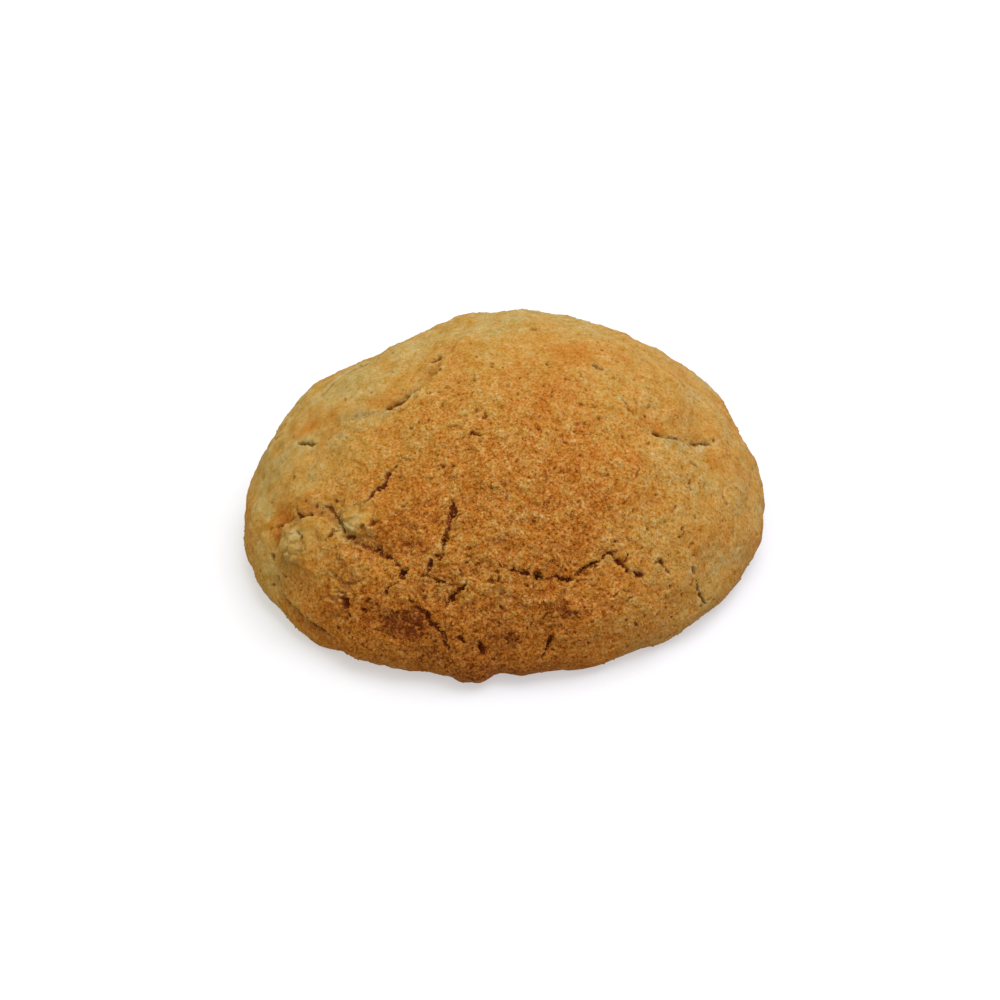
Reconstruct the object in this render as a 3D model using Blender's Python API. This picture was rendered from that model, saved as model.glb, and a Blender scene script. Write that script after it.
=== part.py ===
"""A golden-brown drop cookie: one domed solid with the cracks, ledges, pits and crags of its crust,
standing on its flat underside. Metres, +Z up, +X right and -Y towards the front of the cookie."""

import math
import random

import bmesh
import bpy
import numpy as np
from mathutils import Vector, noise

MM = 0.001
RIGHT_ANGLE = math.pi / 2

# The dough: an oval mound with rounded lower edges.
RADIUS = 37.7 * MM  # mean radius of the plan
OVAL = 0.066  # the plan is longer by this share along OVAL_TURN, and shorter across it
OVAL_TURN = math.radians(14.5)
HEIGHT = 31.0 * MM
WAIST = 4.0 * MM  # height of the widest line
FULLNESS = 1.2  # 1 is half an ellipse; more is a mound with lower shoulders
TOP_SHIFT = (1.9 * MM, 4.0 * MM)  # the top stands a little right of and behind the middle
UNDER_DEPTH = 6.0 * MM  # the round lower edge, before the flat underside cuts it
UNDER_TUCK = 0.235
UNDER_LEAN = math.radians(104)  # where the lower edge has closed in to the underside

# Places on the crust are (right, back) in millimetres, measured over the crust from its top.
CRUST_REACH = 49.0  # from the top down to the widest line

# Bulges of the widest line: azimuth and spread in degrees, and how far each stands out.
LOBES = (
    (3, 5, 0.9),
    (345, 6, -0.2),
    (321, 7, 0.8),
    (291, 7, 0.6),
    (268, 5, -0.8),
    (264, 2, 0.5),
    (261, 2, 0.6),
    (257, 2, -0.4),
    (252, 4, -0.2),
    (247, 4, 0.3),
    (236, 4, 0.9),
    (219, 10, 0.9),
    (190, 5, 0.3),
    (178, 5, -0.4),
)
LOBE_FADE = 10  # how fast the lobes are gone above the widest line

# Swells and dents of the dome: place, spread and height in millimetres.
SWELLS = (
    ((-19, 17), 6, -1.1),
    ((-30, 14), 7, 0.9),
    ((-5, 20), 8, 0.6),
    ((7, 20), 4, 0.4),
    ((30, 15), 7, 0.6),
    ((-27, -19), 6, 0.6),
    ((-13, -35), 7, 0.5),
    ((8, -38), 9, 0.4),
    ((-18, -24), 3.5, -0.7),
    ((24, -20), 10, 0.4),
)

# Cracks: route, width and depth in millimetres.
CRACKS = (
    # across the front, with its short end on the right
    (
        ((-1, -31), (1.5, -32), (5.5, -33), (10, -32.5), (13, -29.5), (15, -28), (17.5, -28.5), (22, -29.5)),
        1.5,
        1.5,
    ),
    (((23, -27), (24, -26), (25.5, -26.5), (27, -27)), 1.1, 0.8),
    # down from the crown, with two short ones at its foot
    (((-8, -21.5), (-8, -23), (-8.5, -25), (-9.5, -27), (-9.5, -29)), 1.3, 1.2),
    (((-12.5, -28.5), (-11.5, -29), (-11.5, -30.5), (-9.5, -32.5)), 1.2, 1.1),
    (((-6, -32.5), (-7, -33.5), (-9.5, -35.5)), 1.3, 1.3),
    # from the left towards the front, where it opens, and its branch
    (((-29, -14), (-28, -16.5), (-25, -17.5), (-23, -19), (-23, -21), (-21, -23)), 1.3, 1.2),
    (((-21, -23), (-19.5, -24), (-17, -26.5), (-15, -29.5)), 1.9, 1.7),
    (((-15, -29.5), (-16, -30.5), (-18.5, -32)), 1.2, 1.0),
    # low at the front
    (((-14.5, -33.5), (-12.5, -36), (-12, -38), (-10.5, -40), (-10, -43), (-11, -45.5)), 1.3, 1.2),
    (((-4, -42.5), (-3.7, -44), (-3, -45.5)), 1.8, 1.6),
    (((8, -42), (8.5, -43), (7.8, -44.5), (7.8, -46.5)), 1.2, 0.9),
    # short ones on the left
    (((-14.5, -14.5), (-16, -15.5), (-17.5, -17), (-19, -18.5)), 1.3, 1.1),
    (((-29, -2.5), (-27, -4), (-25.5, -5.5)), 1.3, 1.0),
    (((-25.5, -29), (-25, -30.5), (-25, -33.5), (-28, -34.5)), 1.4, 1.2),
    # the fold above the lower left edge
    (((-38, -26), (-36, -28.5), (-34, -31), (-35, -33), (-34, -35.5), (-36, -40)), 1.6, 1.3),
)

# Ledges: how far the crust on the right of the route stands out beyond that on its left.
LEDGES = (
    # the step down from the crown to the back on the left
    (
        ((-7, 5), (-8.5, 1.5), (-9, -1.5), (-11.5, -4.3), (-13, -5.5), (-15.5, -6), (-19, -5), (-25, -2)),
        -1.0,
    ),
    # the step on the right, whose front stands proud
    (((29, -3), (26.5, -4.6), (25.5, -5.8), (22, -7.5), (19, -8.5)), -0.7),
    # the raised edge of the slab on the left
    (((-30, -21), (-32.5, -19.5), (-32.5, -18.5), (-31, -16.5), (-28.5, -16.5), (-26.5, -17)), 1.0),
)
LEDGE_SPREAD = 7.0 * MM  # how far from the ledge the crust is back at its own height
LEDGE_EDGE = 0.5 * MM  # how far from its route a ledge has reached its full height
CRACK_CLOSING = 0.6  # share of a crack's width and depth that is gone at its ends
TEAR_SIZE = 2.0 * MM  # size and reach of the raggedness of cracks, ledges and pits
TEAR_REACH = 0.6 * MM
TEAR_SHIFTS = (0.1, 0.2, 0.3)  # far enough apart to be unlike each other

# Pits: place, width and depth in millimetres.
PITS = (
    ((-15, -29.5), 2.2, 1.6),
    ((-7.5, -41), 1.4, 0.9),
    ((3, -34), 1.3, 0.8),
    ((-0.5, -35), 1.3, 0.8),
    ((-14.5, -6), 1.6, 1.2),
    ((-22, -33), 1.4, 0.8),
)

# The back has cracks of the same kind by a seeded rule. Angles are in degrees and turns in radians.
BACK_CRACKS = 9
BACK_AZIMUTHS = (10, 175)
BACK_REACH = (18, 42)  # places from the top
BACK_TURNS = (-0.7, 0.7)
BACK_STEPS = (2, 5)
BACK_STEP = 2.5
BACK_WIDTHS = (1.1, 1.5)
BACK_DEPTHS = (0.7, 1.3)
SEED = 12

# Crags of the crust: size and height of each scale of lumps, in metres.
CRAGS = ((15 * MM, 0.5 * MM), (6 * MM, 0.35 * MM), (2.8 * MM, 0.22 * MM))

SPHERE_SUBDIVISIONS = 8  # about a third of a million triangles before they are thinned
TRIANGLES = 10000  # left of them before the underside is cut
CUTTER_SIZE = 120.0 * MM

CRUST_COLOUR = (0.52, 0.27, 0.075, 1.0)
CRUST_ROUGHNESS = 0.85


def clear_scene():
    for found in list(bpy.data.objects):
        bpy.data.objects.remove(found)


def lobes(azimuth):
    """How far the widest line stands out beyond its oval."""
    out = np.zeros_like(azimuth)
    for centre, spread, height in LOBES:
        apart = (azimuth - math.radians(centre) + math.pi) % (2 * math.pi) - math.pi
        out += height * MM * np.exp(-((apart / math.radians(spread)) ** 2))
    return out


def dough(azimuth, lean):
    """Points of the smooth mound, from its top (lean 0) over its widest line (a right angle) and under."""
    above = np.minimum(lean, RIGHT_ANGLE)
    below = np.clip((lean - RIGHT_ANGLE) / (UNDER_LEAN - RIGHT_ANGLE), 0, 1) * RIGHT_ANGLE
    closing = np.clip((math.pi - lean) / (math.pi - UNDER_LEAN), 0, 1)
    share = np.sin(above) * (1 - UNDER_TUCK * (1 - np.cos(below))) * closing
    height = WAIST + (HEIGHT - WAIST) * np.cos(above) ** FULLNESS - UNDER_DEPTH * np.sin(below)
    oval = RADIUS * (1 + OVAL * np.cos(2 * (azimuth - OVAL_TURN)))
    radius = share * (oval + lobes(azimuth) * np.sin(above) ** LOBE_FADE)
    shift = np.cos(above) ** 2
    x = radius * np.cos(azimuth) + TOP_SHIFT[0] * shift
    y = radius * np.sin(azimuth) + TOP_SHIFT[1] * shift
    return np.stack([x, y, height], axis=-1)


def crust_point(place):
    """The point of the mound at a place (right, back) measured over the crust."""
    right, back = np.asarray(place, float).T
    lean = np.hypot(right, back) / CRUST_REACH * RIGHT_ANGLE
    return dough(np.arctan2(back, right), lean)


def nearest_on_route(points, normals, route):
    """Each point's distance from a route over the crust, its distance to the left of it, and how far
    along the route that is, from 0 to 1."""
    stops = crust_point(route)
    lengths = np.linalg.norm(np.diff(stops, axis=0), axis=1)
    passed = 0.0
    near = np.full(len(points), np.inf)
    side = np.zeros(len(points))
    progress = np.zeros(len(points))
    for start, end, length in zip(stops[:-1], stops[1:], lengths):
        heading = (end - start) / length
        along = np.clip((points - start) @ heading, 0, length)
        offset = points - start - along[:, None] * heading
        distance = np.linalg.norm(offset, axis=1)
        closer = distance < near
        near[closer] = distance[closer]
        side[closer] = np.einsum("ij,ij->i", np.cross(heading, offset), normals)[closer]
        progress[closer] = (passed + along[closer]) / lengths.sum()
        passed += length
    return near, side, progress


def hollow(distance, width, depth):
    """The fall of the surface across a groove or a pit of that width."""
    across = np.clip(2 * distance / width, 0, 1)
    return -depth * (1 - across**1.5)


def crack(points, normals, route, width, depth):
    """A groove along a route, widest in its middle and closing towards its ends."""
    distance, _, progress = nearest_on_route(points, normals, route)
    opening = 1 - CRACK_CLOSING * np.abs(2 * progress - 1) ** 3
    return hollow(distance, width * opening, depth * opening)


def ledge(distance, inward, step):
    """The rise or fall beside a ledge, full at its edge and gone at LEDGE_SPREAD."""
    fading = np.clip(1 - distance / LEDGE_SPREAD, 0, 1) ** 2
    return step * fading * np.clip(inward / LEDGE_EDGE, 0, 1)


def back_cracks():
    """Wandering cracks on the side away from the front, each starting at a random place."""
    draw = random.Random(SEED)
    for _ in range(BACK_CRACKS):
        azimuth = math.radians(draw.uniform(*BACK_AZIMUTHS))
        reach = draw.uniform(*BACK_REACH)
        heading = azimuth + RIGHT_ANGLE + draw.uniform(*BACK_TURNS)
        place = Vector((reach * math.cos(azimuth), reach * math.sin(azimuth)))
        route = [place.copy()]
        for _ in range(draw.randint(*BACK_STEPS)):
            heading += draw.uniform(*BACK_TURNS)
            place += BACK_STEP * Vector((math.cos(heading), math.sin(heading)))
            route.append(place.copy())
        yield route, draw.uniform(*BACK_WIDTHS), draw.uniform(*BACK_DEPTHS)


def lumps(points, size):
    """Smooth noise from about -1 to 1, with lumps of that size."""
    return np.array([noise.noise(Vector(point)) for point in points / size])


def ragged(points):
    """The points moved a little to and fro, so that edges drawn by distance come out torn."""
    moves = [lumps(points + shift, TEAR_SIZE) for shift in TEAR_SHIFTS]
    return points + TEAR_REACH * np.stack(moves, axis=-1)


def crags(points):
    """Rounded lumps of the crust at a few scales."""
    return sum(height * lumps(points, size) for size, height in CRAGS)


def relief(points, normals):
    """Height of the crust over the smooth mound at each point."""
    height = crags(points)
    for place, spread, swell in SWELLS:
        distance = np.linalg.norm(points - crust_point(place), axis=1)
        height += swell * MM * np.exp(-((distance / (spread * MM)) ** 2))
    torn = ragged(points)
    for route, step in LEDGES:
        distance, side, _ = nearest_on_route(torn, normals, route)
        height += ledge(distance, -side, step * MM)
    cuts = np.zeros(len(points))
    for route, width, depth in (*CRACKS, *back_cracks()):
        cuts = np.minimum(cuts, crack(torn, normals, route, width * MM, depth * MM))
    for place, width, depth in PITS:
        distance = np.linalg.norm(torn - crust_point(place), axis=1)
        cuts = np.minimum(cuts, hollow(distance, width * MM, depth * MM))
    return height + cuts


def unit_sphere():
    """The points and triangles of a fine sphere of even triangles."""
    shape = bmesh.new()
    bmesh.ops.create_icosphere(shape, subdivisions=SPHERE_SUBDIVISIONS, radius=1.0)
    points = np.array([vertex.co for vertex in shape.verts])
    triangles = np.array([[vertex.index for vertex in face.verts] for face in shape.faces])
    shape.free()
    return points, triangles


def outward_normals(points, triangles):
    """Unit normals at the points, from the triangles round each."""
    first, second, third = (points[corner] for corner in triangles.T)
    crosses = np.cross(second - first, third - first)
    normals = np.zeros_like(points)
    for corner in triangles.T:
        np.add.at(normals, corner, crosses)
    return normals / np.linalg.norm(normals, axis=1)[:, None]


def crust_mesh():
    """A fine sphere, laid over the mound and then given the crust's relief along its normals."""
    sphere, triangles = unit_sphere()
    azimuth = np.arctan2(sphere[:, 1], sphere[:, 0])
    points = dough(azimuth, np.arccos(np.clip(sphere[:, 2], -1, 1)))
    normals = outward_normals(points, triangles)
    points += normals * relief(points, normals)[:, None]
    low, high = points.min(axis=0), points.max(axis=0)
    points[:, :2] -= (low + high)[:2] / 2
    mesh = bpy.data.meshes.new("cookie")
    mesh.from_pydata(points, [], triangles)
    mesh.shade_smooth()
    return mesh


def crust_material():
    material = bpy.data.materials.new("baked_crust")
    material.use_nodes = True
    shader = material.node_tree.nodes["Principled BSDF"]
    shader.inputs["Base Color"].default_value = CRUST_COLOUR
    shader.inputs["Roughness"].default_value = CRUST_ROUGHNESS
    shader.inputs["Metallic"].default_value = 0.0
    return material


def table_cutter():
    """A block below the table's height, which cuts the mound's underside flat."""
    shape = bmesh.new()
    bmesh.ops.create_cube(shape, size=CUTTER_SIZE)
    bmesh.ops.translate(shape, verts=shape.verts, vec=(0, 0, -CUTTER_SIZE / 2))
    mesh = bpy.data.meshes.new("table_cutter")
    shape.to_mesh(mesh)
    shape.free()
    cutter = bpy.data.objects.new("table_cutter", mesh)
    cutter.hide_render = True
    cutter.display_type = "WIRE"
    bpy.context.scene.collection.objects.link(cutter)
    return cutter


def make_cookie():
    cookie = bpy.data.objects.new("cookie", crust_mesh())
    cookie.data.materials.append(crust_material())
    bpy.context.scene.collection.objects.link(cookie)
    fewer = cookie.modifiers.new("fewer_faces", "DECIMATE")
    fewer.ratio = TRIANGLES / len(cookie.data.polygons)
    flat = cookie.modifiers.new("flat_underside", "BOOLEAN")
    flat.operation = "DIFFERENCE"
    flat.object = table_cutter()
    return cookie


def main():
    clear_scene()
    make_cookie()


main()
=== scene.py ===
"""A drop cookie's browned, sandy crust with its loose crumbs, and a plain studio round it.

Lengths are in metres, +Z is up and -Y is the front. A place on the crust is (right, back) in
millimetres, measured over the crust from its top."""

import math
import random

import bpy
import numpy as np
from bpy.props import FloatProperty, FloatVectorProperty, IntProperty, PointerProperty
from bpy.types import Operator, Panel, PropertyGroup
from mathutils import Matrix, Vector, kdtree, noise


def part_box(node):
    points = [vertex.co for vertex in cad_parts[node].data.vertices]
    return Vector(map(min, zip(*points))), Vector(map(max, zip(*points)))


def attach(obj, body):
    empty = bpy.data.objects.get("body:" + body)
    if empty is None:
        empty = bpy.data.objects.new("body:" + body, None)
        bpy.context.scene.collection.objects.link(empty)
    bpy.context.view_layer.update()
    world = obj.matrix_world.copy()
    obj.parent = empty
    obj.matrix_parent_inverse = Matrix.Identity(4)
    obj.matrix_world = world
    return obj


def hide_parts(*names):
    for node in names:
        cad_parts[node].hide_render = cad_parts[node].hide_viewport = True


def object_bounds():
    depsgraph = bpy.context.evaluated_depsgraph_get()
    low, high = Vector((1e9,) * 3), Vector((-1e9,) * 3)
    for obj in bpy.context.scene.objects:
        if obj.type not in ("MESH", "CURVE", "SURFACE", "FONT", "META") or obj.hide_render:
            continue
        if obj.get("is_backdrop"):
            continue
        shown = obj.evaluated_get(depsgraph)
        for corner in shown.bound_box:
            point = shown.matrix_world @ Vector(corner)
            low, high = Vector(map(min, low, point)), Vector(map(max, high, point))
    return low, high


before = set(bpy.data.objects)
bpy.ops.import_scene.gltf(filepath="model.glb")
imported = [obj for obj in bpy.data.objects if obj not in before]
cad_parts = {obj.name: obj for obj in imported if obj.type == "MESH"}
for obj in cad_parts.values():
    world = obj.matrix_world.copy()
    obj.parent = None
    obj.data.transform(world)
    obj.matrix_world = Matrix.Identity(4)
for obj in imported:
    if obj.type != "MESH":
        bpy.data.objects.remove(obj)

bl_info = {
    "name": "Drop Cookie",
    "version": (1, 0, 0),
    "blender": (4, 5, 0),
    "location": "View3D > Sidebar > Cookie",
    "description": "A golden-brown drop cookie with a cracked, sandy crust",
    "category": "Object",
}

CAD_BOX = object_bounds()
COOKIE_LOW, COOKIE_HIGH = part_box("cookie")
COOKIE_SIZE = COOKIE_HIGH - COOKIE_LOW
COOKIE_MIDDLE = (COOKIE_LOW + COOKIE_HIGH) / 2

MM = 0.001
RIGHT_ANGLE = math.pi / 2

# The dough: an oval mound with rounded lower edges.
ROUND_SHARE = 0.99  # the mound's mean radius, as a share of the cookie's
OVAL = 0.066  # the plan is longer by this share along OVAL_TURN, and shorter across it
OVAL_TURN = math.radians(14.5)
WAIST = 4.0 * MM  # height of the widest line
FULLNESS = 1.2  # 1 is half an ellipse; more is a mound with lower shoulders
TOP_SHIFT = (1.9 * MM, 4.0 * MM)  # the top stands a little right of and behind the middle
UNDER_DEPTH = 6.0 * MM  # the round lower edge, before the flat underside ends it
UNDER_TUCK = 0.235
UNDER_LEAN = math.radians(104)  # where the lower edge has closed in to the underside
CRUST_REACH = 49.0  # place of the widest line

# Bulges of the widest line: azimuth and spread in degrees, and height in mm.
LOBES = (
    (3, 5, 0.9),
    (345, 6, -0.2),
    (321, 7, 0.8),
    (291, 7, 0.6),
    (268, 5, -0.8),
    (264.5, 2, 1.0),
    (262, 2, 0.3),
    (259.5, 2, 0.55),
    (257, 2, -0.4),
    (252, 4, -0.2),
    (247, 4, 0.3),
    (236, 4, 0.9),
    (219, 10, 0.9),
    (190, 5, 0.3),
    (178, 5, -0.4),
)
LOBE_FADE = 10  # how fast the lobes are gone above the widest line

# Swells and dents of the dome: place, spread and height in mm.
SWELLS = (
    ((-19, 17), 6, -1.1),
    ((-30, 14), 7, 0.9),
    ((-5, 20), 8, 0.6),
    ((7, 20), 4, 0.4),
    ((30, 15), 7, 0.6),
    ((-27, -19), 6, 0.6),
    ((-13, -35), 7, 0.5),
    ((8, -38), 9, 0.4),
    ((-18, -24), 3.5, -0.7),
    ((24, -20), 10, 0.4),
    ((-31.8, -14.2), 2.8, -0.9),
    ((-34.4, -17.6), 2.2, -0.7),
)

# The fold above the lower left edge, where the crust overhangs it.
LOWER_FOLD = (
    (-36.6, -21.9), (-37.6, -24.2), (-37, -27), (-35.6, -29.4), (-34.2, -31.6), (-33.6, -33.6),
    (-32.2, -35.6), (-30.5, -38),
)

# Cracks: route, width and depth in mm.
CRACKS = (
    # across the front: the fine line, and the wider stretches of it
    (((0.3, -31.7), (1.9, -31.8), (3.5, -32.2), (4.7, -32.4), (5.6, -33), (6.6, -32.7), (7.8, -32.2),
      (8.8, -32.5), (10.1, -32.4), (10.9, -31.4), (12.3, -30), (14.1, -29), (15.1, -27.7),
      (16.8, -28.1), (18.4, -29.1), (20.1, -29.2), (21.8, -29.2)), 0.38, 0.45),
    (((0.3, -31.7), (1.0, -31.6), (1.9, -31.8)), 0.6, 0.8),
    (((2.1, -31.9), (2.8, -32.0), (3.5, -32.2)), 0.65, 0.9),
    (((3.9, -32.0), (4.7, -32.4), (5.3, -32.6), (5.6, -33.1)), 1.0, 1.2),
    (((6.4, -32.7), (7.2, -32.7)), 0.4, 0.5),
    (((7.6, -32.3), (8.8, -32.5), (10.1, -32.4)), 0.8, 0.9),
    (((10.8, -31.5), (11.6, -30.7), (12.3, -30), (14.1, -29)), 0.55, 0.8),
    (((14.9, -27.6), (15.9, -27.7), (16.8, -28.1)), 0.6, 0.8),
    (((16.8, -28.1), (17.6, -28.7), (18.4, -29.1)), 0.9, 1.2),
    (((18.4, -29.1), (19.2, -29.6)), 0.6, 0.8),
    (((19.9, -29.1), (20.9, -29.2), (21.8, -29.2)), 0.85, 1.1),
    (((23.1, -26.7), (23.9, -26), (24.7, -26.6)), 0.7, 0.8),
    (((24.7, -26.6), (26.5, -27.2)), 0.4, 0.5),
    # its broken left end, and a fine one below it
    (((-1.6, -30.7), (-0.5, -31.3)), 0.6, 0.6),
    (((-1.5, -32), (-1.3, -33.3)), 0.5, 0.7),
    (((-0.3, -34.5), (-1, -35.6)), 0.5, 0.7),
    (((18.4, -32.3), (17.5, -33.2), (16.5, -34.2)), 0.35, 0.4),
    # down from the crown
    (((-7.9, -21.3), (-7.8, -22.9), (-8.5, -24.9), (-9.1, -26.6), (-9.3, -27.7), (-9.6, -29.2)),
      0.5, 0.7),
    (((-7.9, -21.3), (-7.8, -22.9), (-8.3, -23.8), (-8.5, -24.9)), 0.8, 1.0),
    (((-8.8, -25.8), (-9.1, -26.6), (-9.3, -27.7)), 0.95, 1.2),
    (((-10.8, -28.2), (-9.9, -28.3), (-9.1, -28.2)), 0.45, 0.5),
    (((-9.7, -28.5), (-9.4, -29.2)), 0.6, 0.8),
    # the two at its foot
    (((-11, -28.6), (-11.3, -29.5), (-11.6, -30.4)), 0.6, 0.9),
    (((-12.4, -30.4), (-11.5, -30.7)), 0.5, 0.6),
    (((-11.5, -30.7), (-10.8, -31.4), (-10, -32), (-9.2, -32.5)), 0.7, 1.0),
    (((-6, -32.4), (-6.7, -33.4), (-7.9, -34.2), (-9.5, -35.9)), 0.6, 0.9),
    (((-7.7, -33.8), (-8.6, -34.6), (-9.3, -35.7)), 1.0, 1.2),
    # along the top and the right of the slab on the left
    (((-29, -14), (-28.9, -15.1), (-28, -16.5), (-26.4, -16.8)), 0.6, 0.7),
    (((-24.4, -16.3), (-23.7, -17), (-23, -18.4), (-22.6, -19.8), (-22.2, -21.3)), 0.7, 0.7),
    (((-22.3, -21.8), (-21.2, -22.1)), 0.8, 1.0),
    (((-28.9, -18.4), (-28.2, -19.4), (-28.7, -20.5)), 0.45, 0.45),
    (((-29.4, -14.6), (-31, -16.1)), 0.5, 0.6),
    # on from there towards the front, where it opens, and its branch
    (((-21.4, -22.3), (-19.8, -24.1), (-18.1, -25.5), (-16.6, -26.9), (-15.8, -28.2), (-15, -29.5)),
      0.4, 0.45),
    (((-21.6, -22.6), (-20.4, -23.6), (-19.2, -24.6)), 0.8, 0.5),
    (((-19, -24.9), (-18.4, -24.7), (-18.1, -25.5)), 0.8, 0.9),
    (((-17.4, -26.4), (-16.3, -26.8)), 0.7, 0.8),
    (((-16.4, -27.9), (-15.6, -28.3)), 0.5, 0.6),
    (((-15.6, -30), (-14.9, -29.7), (-14.3, -29.4)), 1.1, 1.3),
    (((-15.7, -30.7), (-16.9, -31), (-17.8, -31.6), (-18.8, -32.3)), 0.4, 0.6),
    (((-21.2, -32), (-20.3, -31.9)), 0.45, 0.6),
    # low at the front
    (((-14.7, -33.3), (-14, -34.8), (-12.5, -36.1), (-12.1, -38), (-11.1, -39.3), (-10, -41),
      (-10.5, -42.5), (-10.1, -43.6)), 0.5, 0.7),
    (((-14.7, -33.3), (-13.9, -34.3)), 0.5, 0.7),
    (((-14.2, -34.9), (-13.3, -35.3), (-12.5, -36.1)), 0.7, 0.9),
    (((-12.6, -36), (-12, -36.9)), 0.95, 1.1),
    (((-12.2, -37.5), (-12.1, -38)), 0.5, 0.6),
    (((-11.7, -38.1), (-11.1, -39.3)), 0.85, 1.0),
    (((-10.6, -39.7), (-9.9, -41.1)), 0.85, 1.0),
    (((-10.7, -41.6), (-10.3, -42.6)), 0.6, 0.8),
    (((-10, -43.2), (-10.2, -43.7)), 0.6, 0.7),
    (((-7.9, -40.8), (-7.1, -41.9)), 0.7, 0.9),
    (((-4.2, -42.3), (-3.7, -43.9), (-3.1, -45.4)), 1.2, 1.7),
    (((8.9, -41.6), (8.3, -42.8), (8, -44.2), (7.7, -45.8), (7.6, -47.2)), 0.6, 0.9),
    (((31.8, -25.8), (33.2, -26.8), (35.2, -27.6), (37.6, -28.7)), 0.6, 0.7),
    (((29.6, -24.2), (31.1, -25)), 0.5, 0.6),
    # in the dark patch
    (((-17.8, -34.6), (-16.6, -35.2)), 0.5, 0.5),
    (((-16.4, -36.2), (-15.4, -37.2)), 0.5, 0.5),
    (((-14.6, -37.9), (-13.6, -38)), 0.5, 0.5),
    (((-19, -38.8), (-17.9, -39.2)), 0.5, 0.5),
    # short ones on the left
    (((-14.7, -14.4), (-15.9, -15.1), (-16.4, -16.5), (-17.5, -16.9), (-19, -18.3)), 0.7, 0.9),
    (((-28.8, -2.6), (-27.2, -3.9), (-25.5, -5.2)), 0.8, 0.55),
    (((-25.4, -30.3), (-24.6, -30.9), (-25.2, -31.9)), 1.0, 1.1),
    (((-25.9, -29.2), (-24.3, -29.8)), 0.5, 0.5),
    (((-25.1, -33.4), (-24.4, -33)), 0.5, 0.7),
    (((-26, -34), (-25.4, -33.8)), 0.5, 0.6),
    (((-27.9, -34.3), (-28.2, -35.1)), 0.45, 0.6),
    (((-22.3, -32.6), (-21.7, -33.6)), 0.8, 0.9),
    # the fold above the lower left edge
    (LOWER_FOLD, 1.0, 1.2),
    # along the foot of the ledges
    (((-12.7, -3.2), (-13.6, -3.7), (-14.6, -3.9), (-15.6, -3.9)), 1.5, 1.5),
    (((-11, -1.8), (-11.7, -2.4), (-12.6, -3.2)), 0.7, 0.8),
    (((-17, -4.3), (-18.5, -3.8), (-21.7, -2.5)), 0.6, 0.3),
    (((-10.1, 2.1), (-9.2, 2.8)), 1.0, 1.0),
    (((18.4, -7.7), (19.3, -7.7), (20.2, -7.7)), 1.1, 1.1),
    (((20.2, -7.6), (21.2, -7.1), (22, -6.4), (23.6, -5.8)), 0.5, 0.6),
    (((25.1, -5.1), (26.4, -4.5), (28.2, -2.8)), 0.8, 1.0),
    # slits on the crown and behind it
    (((9, -0.5), (10.5, -0.8)), 0.5, 0.6),
    (((-5.8, -12.4), (-4.8, -13), (-3.9, -13.3)), 0.6, 0.7),
    (((13.5, -4.8), (14.5, -6), (15.5, -6.8)), 0.5, 0.5),
)
CRACK_CLOSING = 0.5  # share of a crack's width and depth that is gone at its ends
BEAD = 1.1 * MM  # length of the wider and narrower stretches along a crack
BEADING = 0.6  # how much wider and narrower they are
BEAD_LEAST = 0.02
BEAD_LINE = (1.0, 0.7, 0.4)  # the beads of a crack are read from the lumps along this line
LIP_REACH = 1.0 * MM  # how far a crack's torn lips reach
LIP_RISE = 0.25 * MM  # how far they stand up
SHOULDER = 0.5  # share of a crack's depth by which its rounded shoulders sink
SHOULDER_FALL = 1.4  # more keeps the shoulders nearer to the crack
DEEP = 0.8 * MM  # depth at which the inside of a crack has its full darker colour, partly painted shade

# Ledges, in mm: how far the crust on the right of the route stands out beyond that on its left, how
# far from the route it does so in full, and how far from the route it is back at its own height.
LEDGES = (
    # the step down from the crown to the back on the left
    (((-7, 5), (-8.5, 1.5), (-9.3, -1.5), (-10.8, -3.6), (-12.2, -4.7), (-13.4, -5.6), (-15.3, -6.2),
      (-17.4, -5.6), (-19, -5.1), (-22.2, -3.8), (-26, -2)), -1.2, 0.4, 15),
    # the step on the right
    (((29, -3), (26.5, -4.6), (25.5, -5.8), (22, -7.5), (19, -8.5), (17, -8.5)), -0.8, 0.35, 10),
    # the raised edges of the slab on the left, and of the plate on its right
    (((-30.6, -22.6), (-32, -21), (-32.6, -19.5), (-32.5, -18), (-31.5, -16.2), (-30, -15.4)),
      1.3, 0.3, 6),
    (((-31.5, -15.8), (-28.7, -16.5), (-26.6, -16.9), (-24.6, -17.9), (-23.4, -19.4), (-22.7, -21.2)),
      0.7, 0.3, 5),
    (((-18.3, -22.6), (-20.1, -22.6), (-21.4, -21.8), (-22.3, -20.6), (-22.5, -19), (-22, -17.6)),
      0.7, 0.3, 5),
    # the crust above the lower left edge overhangs it
    (LOWER_FOLD, -0.8, 0.4, 5),
)
LEDGE_CLOSING = 0.75  # share of a ledge's drop that is gone at its ends
LEDGE_PLATEAU = 1.5  # more keeps the full height further from the route
FOOT_SHADE_REACH = 2.2  # how far the painted shade reaches beyond a ledge's foot, in heights of the ledge
RIM_HIGHLIGHT_REACH = 0.9 * MM  # how far the painted highlight reaches above a ledge's rim
LEDGE_SHADE_AND_HIGHLIGHT_BREAKS = (2.2 * MM, 0.7, 1.2)  # size of the spots where the painted shade at a ledge's foot and the painted highlight on its rim show, their mean and their swing

# Soft folds: route, width and depth in mm.
FOLDS = (
    (((-30, -14.5), (-28, -16), (-25, -17), (-23.2, -19), (-22, -22), (-19, -24.5), (-15, -29)),
      3.2, 0.55),
    (((-27, -13), (-25, -10), (-22, -8)), 3.0, 0.3),
    (((-9, 1), (-12, -3), (-16, -5), (-21, -4)), 3.0, 0.4),
)

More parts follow.
